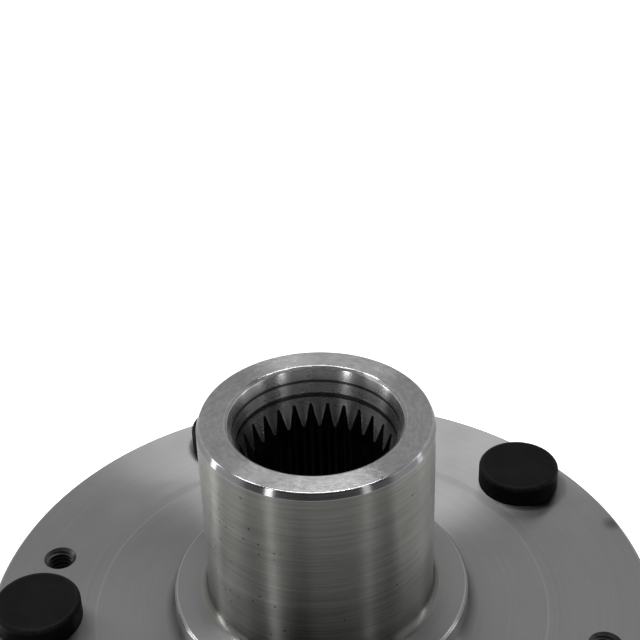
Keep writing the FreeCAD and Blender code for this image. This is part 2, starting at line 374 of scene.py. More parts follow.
def start_group(name, inputs, outputs):
    """A shader node group. inputs maps each name to its default, and outputs is a list of names."""
    tree = bpy.data.node_groups.new(name, "ShaderNodeTree")
    for key, default in inputs.items():
        socket = tree.interface.new_socket(key, in_out="INPUT", socket_type="NodeSocketFloat")
        socket.default_value = default
    for key in outputs:
        tree.interface.new_socket(key, in_out="OUTPUT", socket_type="NodeSocketFloat")
    return tree, tree.nodes.new("NodeGroupInput").outputs, tree.nodes.new("NodeGroupOutput").inputs


def object_axes(tree):
    """The place on the surface, whole and along each axis."""
    position = add_node(tree, "ShaderNodeTexCoord").outputs["Object"]
    axes = add_node(tree, "ShaderNodeSeparateXYZ", {0: position}).outputs
    return position, axes["X"], axes["Y"], axes["Z"]


def level_length(tree, x, y):
    """Length of the level part of a position or a direction."""
    return maths(tree, "SQRT", maths(tree, "ADD", maths(tree, "MULTIPLY", x, x),
                                     maths(tree, "MULTIPLY", y, y)))


def lathe_marks_group(name):
    """Fine streaks that run round the hub's axis, as a lathe or a grinding wheel leaves them.

    Across is how many streaks there are in a metre across them, and Along is how much a streak
    changes on its way round."""
    tree, given, result = start_group(name, {"Across": 3000.0, "Along": 3.0}, ["Marks"])
    _, x, y, z = object_axes(tree)
    radius = level_length(tree, x, y)
    safe_radius = maths(tree, "MAXIMUM", radius, 1e-5)
    place = add_node(tree, "ShaderNodeCombineXYZ", {
        "X": maths(tree, "MULTIPLY", maths(tree, "DIVIDE", x, safe_radius), given["Along"]),
        "Y": maths(tree, "MULTIPLY", maths(tree, "DIVIDE", y, safe_radius), given["Along"]),
        "Z": maths(tree, "MULTIPLY", radius, given["Across"])})
    streaks = add_node(tree, "ShaderNodeTexNoise", {
        "Vector": place.outputs[0], "W": maths(tree, "MULTIPLY", z, given["Across"]),
        "Scale": 1.0, "Detail": 1.5, "Roughness": 0.65}, noise_dimensions="4D")
    feed(tree, result, {
        "Marks": remap(tree, streaks.outputs[0], 0.0, 1.0, from_low=0.3, from_high=0.7)})
    return tree


def grain_group(name):
    """Small specks and broad cloudy patches, such as skin oil and dust leave on bare metal."""
    tree, given, result = start_group(name, {"Speck scale": 2500.0, "Patch scale": 60.0},
                                      ["Specks", "Patches"])
    position, _, _, _ = object_axes(tree)
    specks = add_node(tree, "ShaderNodeTexNoise", {
        "Vector": position, "Scale": given["Speck scale"], "Detail": 2.0, "Roughness": 0.6})
    patches = add_node(tree, "ShaderNodeTexNoise", {
        "Vector": position, "Scale": given["Patch scale"], "Detail": 3.0, "Roughness": 0.55,
        "Distortion": 0.4})
    feed(tree, result, {
        "Specks": remap(tree, specks.outputs[0], 0.0, 1.0, from_low=0.3, from_high=0.7),
        "Patches": remap(tree, patches.outputs[0], 0.0, 1.0, from_low=0.35, from_high=0.65)})
    return tree


def pits_group(name):
    """Scattered small pits. Coverage is the share of the cells that hold one.

    More is how much that share rises on the side that Side points to, an angle in radians."""
    tree, given, result = start_group(name, {"Scale": 700.0, "Size": 0.28, "Coverage": 0.1,
                                             "Side": 0.0, "More": 0.0}, ["Pits"])
    position, x, y, _ = object_axes(tree)
    apart = maths(tree, "SUBTRACT", maths(tree, "ARCTAN2", y, x), given["Side"])
    near = remap(tree, maths(tree, "COSINE", apart), 0.0, 1.0, from_low=0.8)
    coverage = maths(tree, "ADD", given["Coverage"], maths(tree, "MULTIPLY", near, given["More"]))
    cells = add_node(tree, "ShaderNodeTexVoronoi", {
        "Vector": position, "Scale": given["Scale"], "Randomness": 1.0})
    chance = add_node(tree, "ShaderNodeSeparateColor", {0: cells.outputs["Color"]}).outputs[0]
    chosen = maths(tree, "LESS_THAN", chance, coverage)
    round_spot = maths(tree, "SUBTRACT", 1.0, maths(tree, "DIVIDE", cells.outputs["Distance"],
                                                    given["Size"]))
    spot = remap(tree, round_spot, 0.0, 1.0, from_high=0.5)
    feed(tree, result, {"Pits": maths(tree, "MULTIPLY", spot, chosen)})
    return tree


def spot_group(name):
    """One round spot, fading outward. X, Y and Z are its centre in metres, and Size its radius."""
    tree, given, result = start_group(name, {"X": 0.0, "Y": 0.0, "Z": 0.0, "Size": 0.001}, ["Spot"])
    position, _, _, _ = object_axes(tree)
    centre = add_node(tree, "ShaderNodeCombineXYZ", {"X": given["X"], "Y": given["Y"], "Z": given["Z"]})
    apart = add_node(tree, "ShaderNodeVectorMath", {0: position, 1: centre.outputs[0]},
                     operation="DISTANCE").outputs["Value"]
    share_of_size = maths(tree, "DIVIDE", apart, given["Size"])
    feed(tree, result, {"Spot": remap(tree, share_of_size, 1.0, 0.0, from_low=0.2)})
    return tree


SHADER_GROUPS = {
    "Lathe marks": lathe_marks_group,
    "Grain": grain_group,
    "Pits": pits_group,
    "Spot": spot_group,
}


def use_group(tree, name, values=None):
    """Places a shader node group, which is built when it is first asked for."""
    group = bpy.data.node_groups.get(name) or SHADER_GROUPS[name](name)
    made = add_node(tree, "ShaderNodeGroup", node_tree=group)
    feed(tree, made.inputs, values or {})
    return made.outputs


def edge_mask(tree):
    """The meshes' own edge values, which rounded() works out."""
    return add_node(tree, "ShaderNodeAttribute", attribute_name="edge").outputs["Fac"]


def relief(tree, height, depth):
    """The normal of a surface with this relief. A height of 1 stands for the depth, in metres."""
    return add_node(tree, "ShaderNodeBump", {
        "Height": height, "Distance": depth, "Strength": 1.0}).outputs[0]


def empty_material(name):
    """A material with only its output: the material, its tree and the output's socket."""
    material = bpy.data.materials.new(name)
    material.use_nodes = True
    tree = material.node_tree
    tree.nodes.clear()
    return material, tree, tree.nodes.new("ShaderNodeOutputMaterial").inputs["Surface"]


def start_material(name):
    """A material with a Principled shader: the material, its tree and the shader's inputs."""
    material, tree, surface = empty_material(name)
    shader = tree.nodes.new("ShaderNodeBsdfPrincipled")
    tree.links.new(shader.outputs[0], surface)
    return material, tree, shader.inputs


def shaded(tree, base, mask, low, high):
    """The base colour times low where the mask is 0, and times high where it is 1."""
    factor = remap(tree, mask, low, high)
    grey = add_node(tree, "ShaderNodeCombineColor", {0: factor, 1: factor, 2: factor}).outputs[0]
    mix = add_node(tree, "ShaderNodeMix", {"Factor": 1.0}, data_type="RGBA", blend_type="MULTIPLY")
    colours = [socket for socket in mix.inputs if socket.type == "RGBA"]
    first = base if isinstance(base, bpy.types.NodeSocket) else (*base, 1.0)
    feed(tree, colours, {0: first, 1: grey})
    return next(socket for socket in mix.outputs if socket.type == "RGBA")


def machined_steel(name, base, roughness, anisotropy, across, along, mark_depth, mark_tint,
                   pit_coverage=0.0, more_pits=0.0, grazing=0.5, spots=()):
    """Bare steel with streaks round the hub's axis, a fine grain, a few pits, polished edges with a
    painted highlight, and painted shade in hollow corners.

    Across and along are those of the lathe marks, mark_depth is in metres, and mark_tint is how
    far the marks change the colour. Grazing is how much of its brightness the steel keeps when
    seen at a low angle. Each spot is the (x, y, z, radius, darkness) of a single dark mark."""
    material, tree, shader = start_material(name)
    marks = use_group(tree, "Lathe marks", {"Across": across, "Along": along})["Marks"]
    grain = use_group(tree, "Grain")
    pits = use_group(tree, "Pits", {
        "Size": PIT_SIZE, "Coverage": pit_coverage, "More": more_pits,
        "Side": settings().finishes.pitted_side})["Pits"]
    edge = edge_mask(tree)
    tone = shaded(tree, base, marks, 1.0 - mark_tint, 1.0 + mark_tint)
    # Painted highlight on rounded edges, and painted shade in hollow corners
    tone = shaded(tree, tone, edge, 1.0, EDGE_HIGHLIGHT_TONE)
    tone = shaded(tree, tone, maths(tree, "MULTIPLY", edge, -1.0), 1.0, HOLLOW_SHADE_TONE)
    tone = shaded(tree, tone, grain["Patches"], *PATCH_TONES)
    tone = shaded(tree, tone, pits, 1.0, PIT_TONE)
    for x, y, z, radius, darkness in spots:
        spot = use_group(tree, "Spot", {"X": x, "Y": y, "Z": z, "Size": radius})["Spot"]
        tone = shaded(tree, tone, spot, 1.0, 1.0 - darkness)
    polish = remap(tree, grain["Patches"], roughness - PATCH_ROUGHNESS, roughness + PATCH_ROUGHNESS)
    polish = maths(tree, "ADD", polish, maths(tree, "MULTIPLY", marks, MARK_ROUGHNESS))
    polish = maths(tree, "MULTIPLY", polish, remap(tree, edge, 1.0, EDGE_ROUGHNESS))
    height = maths(tree, "ADD", marks, maths(tree, "MULTIPLY", grain["Specks"], SPECK_RELIEF))
    height = maths(tree, "SUBTRACT", height, maths(tree, "MULTIPLY", pits, PIT_RELIEF))
    height = maths(tree, "MULTIPLY", height, remap(tree, edge, 1.0, EDGE_RELIEF))
    tangent = add_node(tree, "ShaderNodeTangent", direction_type="RADIAL", axis="Z").outputs[0]
    feed(tree, shader, {
        "Base Color": tone, "Metallic": 1.0, "Roughness": polish,
        "Specular Tint": (grazing, grazing, grazing, 1.0), "Anisotropic": anisotropy,
        "Anisotropic Rotation": ACROSS_MARKS, "Tangent": tangent,
        "Normal": relief(tree, height, mark_depth)})
    return material


def hub_materials():
    """The hub's materials, in the order of the finishes' numbers."""
    finish = settings().finishes
    turned = {"roughness": finish.turned_roughness, "anisotropy": 0.96, "across": 3500.0,
              "along": 2.0, "mark_depth": 2e-6, "mark_tint": 0.04}
    bored = {"roughness": finish.bore_roughness, "anisotropy": 0.9, "across": 2000.0,
             "mark_depth": 3e-7}
    return [
        machined_steel("turned_steel", finish.turned_colour, **turned, spots=[RIM_DARK_SPOT]),
        machined_steel("faced_steel", finish.faced_colour, finish.faced_roughness,
                       anisotropy=0.95, across=1300.0, along=14.0, mark_depth=1.5e-5,
                       mark_tint=0.14, spots=[END_FACE_PIT]),
        machined_steel("chamfer_steel", finish.chamfer_colour, finish.chamfer_roughness,
                       anisotropy=0.9, across=3300.0, along=3.0, mark_depth=1e-6, mark_tint=0.1),
        machined_steel("ground_steel", finish.ground_colour, finish.ground_roughness,
                       anisotropy=0.95, across=3000.0, along=1.6, mark_depth=1.5e-6,
                       mark_tint=0.19, pit_coverage=0.018, more_pits=0.42, grazing=0.7),
        # The cones' light colour is painted light
        machined_steel("bored_steel", finish.bore_lit_colour, **bored, along=1.0, mark_tint=0.04),
        # The groove and guide's dark colour is painted shade
        machined_steel("groove_steel", finish.groove_shade_colour, finish.bore_roughness,
                       anisotropy=0.8, across=3000.0, along=1.0, mark_depth=5e-7, mark_tint=0.04),
        machined_steel("tooth_end_steel", finish.tooth_end_colour, **bored, along=2.0,
                       mark_tint=0.06),
        broached_steel(),
        tapped_steel(),
        machined_steel("seat_line_steel", finish.seat_line_colour, **turned),
    ]


def broached_steel():
    """The spline's teeth, whose near black colour is painted shade deep in the bore."""
    finish = settings().finishes
    material, tree, shader = start_material("broached_steel")
    grain = use_group(tree, "Grain", {"Speck scale": 1800.0, "Patch scale": 260.0})
    # The teeth's near black colour is painted shade
    feed(tree, shader, {
        "Base Color": shaded(tree, finish.spline_shade_colour, grain["Patches"], low=0.75, high=1.2),
        "Metallic": 1.0,
        "Roughness": remap(tree, grain["Patches"], finish.spline_roughness - 0.06,
                           finish.spline_roughness + 0.08),
        "Normal": relief(tree, grain["Specks"], 3e-6)})
    return material


def tapped_steel():
    """The walls of the threaded holes."""
    finish = settings().finishes
    material, tree, shader = start_material("tapped_steel")
    grain = use_group(tree, "Grain", {"Speck scale": 2200.0, "Patch scale": 500.0})
    feed(tree, shader, {
        "Base Color": shaded(tree, finish.thread_colour, grain["Patches"], low=0.7, high=1.2),
        "Metallic": 1.0,
        "Roughness": remap(tree, grain["Specks"], finish.thread_roughness - 0.05,
                           finish.thread_roughness + 0.05),
        "Normal": relief(tree, grain["Specks"], 3e-6)})
    return material


def black_oxide():
    """The studs' satin black finish, a little worn where the edges were handled."""
    finish = settings().finishes
    material, tree, shader = start_material("black_oxide")
    grain = use_group(tree, "Grain", {"Speck scale": 1600.0, "Patch scale": 220.0})
    pits = use_group(tree, "Pits", {"Scale": 900.0, "Coverage": 0.05})["Pits"]
    worn = maths(tree, "MULTIPLY", edge_mask(tree), grain["Specks"])
    tone = shaded(tree, finish.stud_colour, grain["Patches"], low=0.8, high=1.25)
    tone = shaded(tree, tone, worn, low=1.0, high=2.6)
    tone = shaded(tree, tone, pits, low=1.0, high=0.6)
    height = maths(tree, "SUBTRACT", maths(tree, "MULTIPLY", grain["Specks"], 0.6), pits)
    feed(tree, shader, {
        "Base Color": tone, "Specular IOR Level": 0.03,
        "Roughness": remap(tree, grain["Specks"], finish.stud_roughness - 0.06,
                           finish.stud_roughness + 0.06),
        "Normal": relief(tree, height, 1e-5)})
    return material


# Mesh helpers

def rounded(corners, hold):
    """Points of a turned outline, from corners given as (radius, z, fillet, finish).

    Each point is (radius, z, finish, on_edge). The finish is that of the wall that follows, and
    on_edge is up to 1 on an outward corner, where the steel gets a painted highlight and a finer
    polish and the studs' oxide shows wear, and down to -1 in a hollow one, where the steel gets
    painted shade. A point each side of a fillet, hold away from it, keeps the wall's shading flat."""
    points = []
    for i, (radius, z, fillet, finish) in enumerate(corners):
        last_radius, last_z, _, last_finish = corners[i - 1]
        next_radius, next_z, _, _ = corners[(i + 1) % len(corners)]
        here = Vector((radius, z))
        to_last = Vector((last_radius, last_z)) - here
        to_next = Vector((next_radius, next_z)) - here
        half_angle = to_last.angle(to_next) / 2
        if fillet <= 0 or half_angle > STRAIGHT_HALF_ANGLE:
            points.append((radius, z, finish, 0.0))
            continue
        shorter = min(to_last.length, to_next.length)
        tangent = min(fillet / math.tan(half_angle), FILLET_SHARE * shorter)
        to_last.normalize()
        to_next.normalize()
        start = here + to_last * tangent
        end = here + to_next * tangent
        middle = here + (to_last + to_next).normalized() * (tangent / math.cos(half_angle))
        arc = fillet_arc(middle, start, end, math.pi - 2 * half_angle, hold)
        before = start + to_last * hold
        after = end + to_next * hold
        points.append((before.x, before.y, last_finish, 0.0))
        points += [(place.x, place.y, last_finish, on_edge) for place, on_edge in arc[:-1]]
        points.append((arc[-1][0].x, arc[-1][0].y, finish, arc[-1][1]))
        points.append((after.x, after.y, finish, 0.0))
    return points


def fillet_arc(middle, start, end, turn, hold):
    """Places and edge values from start to end, on an arc about the middle that turns by turn."""
    first = start - middle
    wide = first.length > WIDE_FILLET * hold
    steps = max(2, math.ceil(turn / (WIDE_FILLET_FACET if wide else SMALL_FILLET_FACET)))
    sharpness = min(1.0, turn / WHOLE_EDGE_TURN)
    outward = first.cross(end - middle) <= 0
    arc = []
    for step in range(steps + 1):
        along = step / steps
        spin = Matrix.Rotation(-turn * along if outward else turn * along, 2)
        on_edge = sharpness if outward else -sharpness * math.sin(math.pi * along)
        arc.append((middle + spin @ first, on_edge))
    return arc


def ring(mesh, radii, heights, directions, centre):
    """A ring of vertices. radii and heights are one number, or one for each direction."""
    made = []
    for i, direction in enumerate(directions):
        radius = radii[i] if isinstance(radii, list) else radii
        height = heights[i] if isinstance(heights, list) else heights
        made.append(mesh.verts.new((centre.x + radius * math.cos(direction),
                                    centre.y + radius * math.sin(direction), height)))
    return made


def skin(mesh, lower, upper, finish):
    """Quads between two rings."""
    count = len(lower)
    for i in range(count):
        after = (i + 1) % count
        mesh.faces.new((lower[i], lower[after], upper[after], upper[i])).material_index = finish


def lathe(mesh, outline, directions, centre):
    """Rings of vertices joined by quads, from an outline of (radii, heights, finish, on_edge).

    The finish is that of the wall that follows. Returns the first and the last ring."""
    edge = mesh.verts.layers.float.new("edge")
    rings = []
    for radii, heights, _, on_edge in outline:
        rings.append(ring(mesh, radii, heights, directions, centre))
        for vertex in rings[-1]:
            vertex[edge] = on_edge
    for lower, upper, (_, _, finish, _) in zip(rings, rings[1:], outline):
        skin(mesh, lower, upper, finish)
    return rings[0], rings[-1]


def cap(mesh, loop, finish):
    """One face across a ring."""
    mesh.faces.new(loop).material_index = finish


def finish_mesh(mesh, name, materials, crease=HUB_CREASE):
    """An object from a bmesh, smooth except along its sharp edges."""
    bmesh.ops.remove_doubles(mesh, verts=mesh.verts, dist=MERGE_DISTANCE)
    bmesh.ops.dissolve_degenerate(mesh, edges=mesh.edges, dist=MERGE_DISTANCE)
    bmesh.ops.recalc_face_normals(mesh, faces=mesh.faces)
    made = to_object(mesh, name, materials)
    smooth(made.data, crease)
    return made


def to_object(mesh, name, materials):
    """Puts a bmesh in the scene as an object."""
    data = bpy.data.meshes.new(name)
    mesh.to_mesh(data)
    mesh.free()
    for material in materials:
        data.materials.append(material)
    return place_in_scene(name, data)


def place_in_scene(name, data):
    made = bpy.data.objects.new(name, data)
    bpy.context.scene.collection.objects.link(made)
    return made


def smooth(data, crease):
    data.shade_smooth()
    data.set_sharp_from_angle(angle=crease)


def even_directions(count, phase=0.0):
    """Directions that stand evenly all round, from the phase on."""
    return [phase + math.tau * i / count for i in range(count)]


def on_circle(radius, direction):
    return Vector((radius * math.cos(direction), radius * math.sin(direction), 0.0))


# Threads

def root_radius(radius, pitch):
    """Inner radius of a thread, from its outer radius."""
    return radius - FLANK_SHARE * pitch / math.tan(FLANK_ANGLE)


def thread_outline(radius, pitch):
    """One turn of a thread: (share of the pitch, radius) of each corner and mid-flank."""
    inner = root_radius(radius, pitch)
    middle = (radius + inner) / 2
    crest_end = CREST_SHARE / 2
    root_start = crest_end + FLANK_SHARE
    return [(-crest_end, radius), (crest_end, radius), (crest_end + FLANK_SHARE / 2, middle),
            (root_start, inner), (root_start + ROOT_SHARE, inner),
            (1 - crest_end - FLANK_SHARE / 2, middle)]


def thread_radius(outline, share_of_pitch):
    """The thread's radius at a share of the pitch along it."""
    first, last = outline[0], outline[-1]
    corners = outline + [(first[0] + 1, first[1])]
    place = (share_of_pitch - first[0]) % 1.0 + first[0]
    for (start, start_radius), (end, end_radius) in zip(corners, corners[1:]):
        if start <= place <= end:
            return start_radius + (end_radius - start_radius) * (place - start) / (end - start)
    return last[1]


def add_thread(mesh, outline, pitch, low_z, high_z, directions, centre, finish, limit):
    """A thread from low_z to high_z, whose rows of vertices climb with its helix.

    limit(z) is the most that the radius may be there. Returns the lowest and highest rings."""
    turns = math.ceil((high_z - low_z) / pitch) + 2
    columns = []
    for direction in directions:
        climb = direction / math.tau
        column = []
        for turn in range(-1, turns):
            for part, corner_radius in outline:
                free_z = low_z + (turn + part + climb) * pitch
                z = min(max(free_z, low_z), high_z)
                radius = corner_radius
                if z != free_z:
                    radius = thread_radius(outline, (z - low_z) / pitch - climb)
                radius = min(radius, limit(z))
                column.append(mesh.verts.new((centre.x + radius * math.cos(direction),
                                              centre.y + radius * math.sin(direction), z)))
        columns.append(column)
    parts = len(outline)
    rows = len(columns[0])
    for i, column in enumerate(columns):
        wraps = i + 1 == len(columns)
        after = columns[0] if wraps else columns[i + 1]
        # Once round, the helix has climbed one turn.
        shift = parts if wraps else 0
        for row in range(rows - 1 - shift):
            corners = (column[row], after[row + shift], after[row + shift + 1], column[row + 1])
            mesh.faces.new(corners).material_index = finish
    return [column[0] for column in columns], [column[-1] for column in columns]


# The hub

TURNED, FACED, CHAMFERED, GROUND, BORED, GROOVED, TOOTH_ENDS, BROACHED, TAPPED, SEAT_LINE = range(10)


def spline_columns(spline):
    """Directions of the columns of vertices, and the tooth form's radius at each."""
    pitch = math.tau / spline.teeth
    tip_half = spline.tip_share * pitch / 2
    root_start = (1 - spline.root_share) * pitch / 2
    tip_corner = on_circle(spline.minor_radius, tip_half)
    root_corner = on_circle(spline.major_radius, root_start)
    flank = root_corner - tip_corner
    half = [(0.0, spline.minor_radius), (tip_half, spline.minor_radius)]
    for step in range(1, FLANK_STEPS):
        offset = tip_half + (root_start - tip_half) * step / FLANK_STEPS
        toward = on_circle(1.0, offset)
        radius = tip_corner.to_2d().cross(flank.to_2d()) / toward.to_2d().cross(flank.to_2d())
        half.append((offset, radius))
    half.append((root_start, spline.major_radius))
    whole = half + [(pitch / 2, spline.major_radius)]
    whole += [(pitch - offset, radius) for offset, radius in reversed(half[1:])]
    directions = []
    radii = []
    for tooth in range(spline.teeth):
        for offset, radius in whole:
            directions.append(spline.phase + tooth * pitch + offset)
            radii.append(radius)
    return directions, radii


def hub_outline(hub, spline):
    """Corners of the hub's section outside the spline, from the bore's guide round to the nut seat."""
    fine = hub.edge_break
    crisp = fine / 2
    soft = fine * 2
    blunt = fine * 3
    seat_z = hub.flange_thickness
    web_z = seat_z + hub.head_seat_depth
    guide_radius = spline.major_radius + hub.guide_clearance
    line_z = web_z - hub.head_seat_depth * hub.seat_line_width / hub.head_seat_run
    land_radius = guide_radius + hub.inner_cone_width
    edge_radius = land_radius + hub.outer_cone_width
    edge_z = hub.end_z - hub.mouth_edge_length
    land_top = edge_z - hub.outer_cone_length
    land_end = land_top - hub.land_length
    guide_top = land_end - hub.inner_cone_length
    inside = [
        (guide_radius, guide_top - hub.guide_length, 0.0, GROOVED),
        (guide_radius, guide_top, 0.0, BORED),
        (land_radius, land_end, 0.0, GROOVED),
        (land_radius, land_top, 0.0, BORED),
        (edge_radius, edge_z, fine, FACED),
    ]
    neck = [
        (edge_radius + hub.mouth_edge_width, hub.end_z, hub.end_edge_break, FACED),
        (hub.journal_radius - hub.end_chamfer_width, hub.end_z, hub.end_edge_break, CHAMFERED),
        (hub.journal_radius, hub.end_z - hub.end_chamfer_height, soft, GROUND),
        (hub.journal_radius, hub.shoulder_z, hub.journal_foot, TURNED),
        (hub.shoulder_radius - hub.shoulder_edge, hub.shoulder_z, soft, TURNED),
        (hub.shoulder_radius, hub.shoulder_z - hub.shoulder_edge, soft, TURNED),
        (hub.shoulder_radius, web_z, hub.shoulder_foot, TURNED),
    ]
    flange = [
        (hub.head_seat_inner_radius, web_z, crisp, SEAT_LINE),
        (hub.head_seat_inner_radius + hub.seat_line_width, line_z, 0.0, TURNED),
        (hub.head_seat_inner_radius + hub.head_seat_run, seat_z, hub.head_seat_blend, TURNED),
        (hub.flange_radius - hub.flange_edge, seat_z, soft, TURNED),
        (hub.flange_radius, seat_z - hub.flange_edge, soft, TURNED),
        (hub.flange_radius, hub.wheel_edge, soft, TURNED),
        (hub.flange_radius - hub.wheel_edge, 0.0, soft, TURNED),
        (hub.relief_outer_radius, 0.0, soft, TURNED),
        (hub.relief_outer_radius - hub.relief_depth, hub.relief_depth, blunt, TURNED),
    ]
    pilot_foot_radius = hub.pilot_radius - hub.pilot_foot
    outside = [
        (pilot_foot_radius, hub.relief_depth, blunt, TURNED),
        (pilot_foot_radius, -hub.pilot_foot, fine, TURNED),
        (hub.pilot_radius, -2 * hub.pilot_foot, fine, TURNED),
        (hub.pilot_radius, hub.pilot_end_z + hub.pilot_lead_length, soft * 2, TURNED),
        (hub.pilot_radius - hub.pilot_lead_width, hub.pilot_end_z, blunt, TURNED),
        (hub.nut_recess_radius + hub.nut_recess_edge, hub.pilot_end_z, soft, TURNED),
        (hub.nut_recess_radius, hub.pilot_end_z + hub.nut_recess_edge, soft, TURNED),
        (hub.nut_recess_radius, hub.nut_seat_z - hub.nut_recess_corner, soft, TURNED),
        (hub.nut_recess_radius - hub.nut_recess_corner, hub.nut_seat_z, soft, TURNED),
        (spline.major_radius + spline.exit_chamfer / 2, hub.nut_seat_z, crisp, BROACHED),
        (spline.minor_radius, hub.nut_seat_z + spline.exit_chamfer, 0.0, BROACHED),
    ]
    return inside + neck + flange + outside


def turned_hub(hub, spline, materials):
    """The hub without its flange holes, as one closed skin of rings."""
    directions, form = spline_columns(spline)
    corners = hub_outline(hub, spline)
    lead_radius, spline_top = corners[0][:2]
    exit_radius, exit_z = corners[-2][:2]
    lead_slope = spline.lead_length / (lead_radius - spline.minor_radius)
    exit_slope = spline.exit_chamfer / (exit_radius - spline.minor_radius)
    lead_foot = [spline_top - (lead_radius - radius) * lead_slope for radius in form]
    exit_top = [exit_z + (exit_radius - radius) * exit_slope for radius in form]
    hold = hub.edge_break
    # The last corner of the outline is where the teeth begin, so their own rings replace it.
    outline = rounded(corners, hold)[:-1] + [
        (form, exit_top, BROACHED, 0.0),
        (form, max(exit_top) + hold, BROACHED, 0.0),
        (form, (max(exit_top) + min(lead_foot)) / 2, BROACHED, 0.0),
        (form, min(lead_foot) - hold, BROACHED, 0.0),
        (form, lead_foot, BROACHED, 0.0),
    ]
    mesh = bmesh.new()
    first, last = lathe(mesh, outline, directions, Vector((0.0, 0.0)))
    skin(mesh, last, first, TOOTH_ENDS)
    return finish_mesh(mesh, "hub_body", materials)


def hole_cutter(name, places, radius, low_chamfer, high_chamfer, height, finish, materials):
    """Plain round cutters from 0 up to the height, wider at the ends by the chamfers."""
    mesh = bmesh.new()
    for place in places:
        steps = [(radius + low_chamfer + CUTTER_OVERRUN, -CUTTER_OVERRUN), (radius, low_chamfer),
                 (radius, height - high_chamfer),
                 (radius + high_chamfer + CUTTER_OVERRUN, height + CUTTER_OVERRUN)]
        if high_chamfer == 0:
            steps[-1] = (radius, height + CUTTER_OVERRUN)
        rings = [ring(mesh, r, z, even_directions(HOLE_SIDES), place) for r, z in steps]
        for lower, upper in zip(rings, rings[1:]):
            skin(mesh, lower, upper, finish)
        cap(mesh, rings[0], finish)
        cap(mesh, rings[-1], finish)
    return finish_mesh(mesh, name, materials)


def thread_cutter(name, places, radius, pitch, height, finish, materials):
    """Cutters that leave a thread in the wall of a hole, from 0 up to the height."""
    mesh = bmesh.new()
    outline = thread_outline(radius, pitch)
    for place in places:
        low, high = add_thread(mesh, outline, pitch, -CUTTER_OVERRUN, height + CUTTER_OVERRUN,
                               even_directions(THREAD_SIDES), place, finish, lambda z: radius)
        cap(mesh, low, finish)
        cap(mesh, high, finish)
    return finish_mesh(mesh, name, materials)


def cut(body, cutters):
    """Takes the cutters out of the body for good."""
    for cutter in cutters:
        change = body.modifiers.new("cut", "BOOLEAN")
        change.operation = "DIFFERENCE"
        change.solver = "EXACT"
        change.object = cutter
    bpy.context.view_layer.update()
    graph = bpy.context.evaluated_depsgraph_get()
    data = bpy.data.meshes.new_from_object(body.evaluated_get(graph))
    body.modifiers.clear()
    old = body.data
    body.data = data
    bpy.data.meshes.remove(old)
    for cutter in cutters:
        bpy.data.meshes.remove(cutter.data)
    smooth(data, HUB_CREASE)


def make_hub():
    """The hub, turned, splined and drilled."""
    sizes = settings()
    hub, screw, stud = sizes.hub, sizes.screw_hole, sizes.stud
    materials = hub_materials()
    body = turned_hub(hub, sizes.spline, materials)
    screw_circle = mount_size("disc_screw_holes", "pcd_mm") / 2
    screw_places = [on_circle(screw_circle, a) for a in even_directions(screw.count, screw.phase)]
    stud_places = [stud_centre(name) for name in STUD_NODES]
    seat_z = hub.flange_thickness
    screw_root = root_radius(screw.radius, screw.pitch)
    screw_chamfer = screw.chamfer + screw.radius - screw_root
    cut(body, [
        hole_cutter("stud_hole_cutter", stud_places, stud.collar_radius, stud.hole_edge, 0.0,
                    seat_z, TURNED, materials),
        hole_cutter("screw_hole_cutter", screw_places, screw_root, screw_chamfer, screw_chamfer,
                    seat_z, TAPPED, materials),
        thread_cutter("screw_thread_cutter", screw_places, screw.radius, screw.pitch, seat_z,
                      TAPPED, materials),
    ])
    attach(body, "root")
    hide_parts("hub")


# The studs

# A stud's one finish
OXIDE = 0


def stud_centre(node):
    """The stud's place on the stud circle, in the direction of its solid."""
    low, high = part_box(node)
    middle = (low + high) / 2
    return on_circle(mount_size("wheel_studs", "pcd_mm") / 2, math.atan2(middle.y, middle.x))


def stud_outline(hub, stud, directions):
    """Rings of a stud from the middle of its head down to where its thread begins."""
    seat_z = hub.flange_thickness
    collar_end = seat_z - stud.collar_length
    dish_radius = stud.dish_share * stud.head_radius
    dish_z = stud.head_top_z - stud.head_dish
    corners = [
        (0.0, seat_z, 0.0, OXIDE),
        (0.0, dish_z, 0.0, OXIDE),
        (dish_radius, dish_z, 0.0, OXIDE),
        (dish_radius + stud.dish_rim, stud.head_top_z, 0.0, OXIDE),
        (stud.head_radius, stud.head_top_z, stud.head_edge, OXIDE),
        (stud.head_radius, seat_z, stud.lower_edge, OXIDE),
        (stud.collar_radius, seat_z, 0.0, OXIDE),
    ]
    serrated = [stud.collar_radius - stud.serration_depth * (i % 2) for i in range(len(directions))]
    # The first two corners only close the section, and a cap takes their place.
    return rounded(corners, stud.edge_hold)[2:] + [
        (serrated, seat_z - stud.collar_gap, OXIDE, 0.0),
        (serrated, collar_end + stud.collar_chamfer, OXIDE, 0.0),
        (stud.neck_radius + stud.collar_chamfer, collar_end, OXIDE, 0.0),
        (stud.neck_radius, collar_end, OXIDE, 0.0),
        (stud.neck_radius, stud.thread_start_z + stud.thread_gap, OXIDE, 0.0),
    ]


def make_stud(node, material):
    """One stud, dressed over its solid."""
    stud = settings().stud
    centre = stud_centre(node)
    directions = even_directions(2 * stud.serrations)
    tip_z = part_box(node)[0].z
    thread_root = root_radius(stud.thread_radius, stud.thread_pitch)
    taper = (stud.thread_radius - stud.tip_radius) / stud.tip_length

    def limit(z):
        """The thread runs out at its start and is tapered at the tip."""
        start = thread_root + max(0.0, stud.thread_start_z - z) * stud.run_out_slope
        end = stud.tip_radius + (z - tip_z) * taper
        return min(start, end)

    mesh = bmesh.new()
    head, neck = lathe(mesh, stud_outline(settings().hub, stud, directions), directions, centre)
    cap(mesh, head, OXIDE)
    low, high = add_thread(mesh, thread_outline(stud.thread_radius, stud.thread_pitch),
                           stud.thread_pitch, tip_z, stud.thread_start_z, directions, centre,
                           OXIDE, limit)
    skin(mesh, neck, high, OXIDE)
    cap(mesh, low, OXIDE)
    made = finish_mesh(mesh, f"{node}_dressed", [material], crease=STUD_CREASE)
    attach(made, "root")
    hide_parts(node)


# The stage

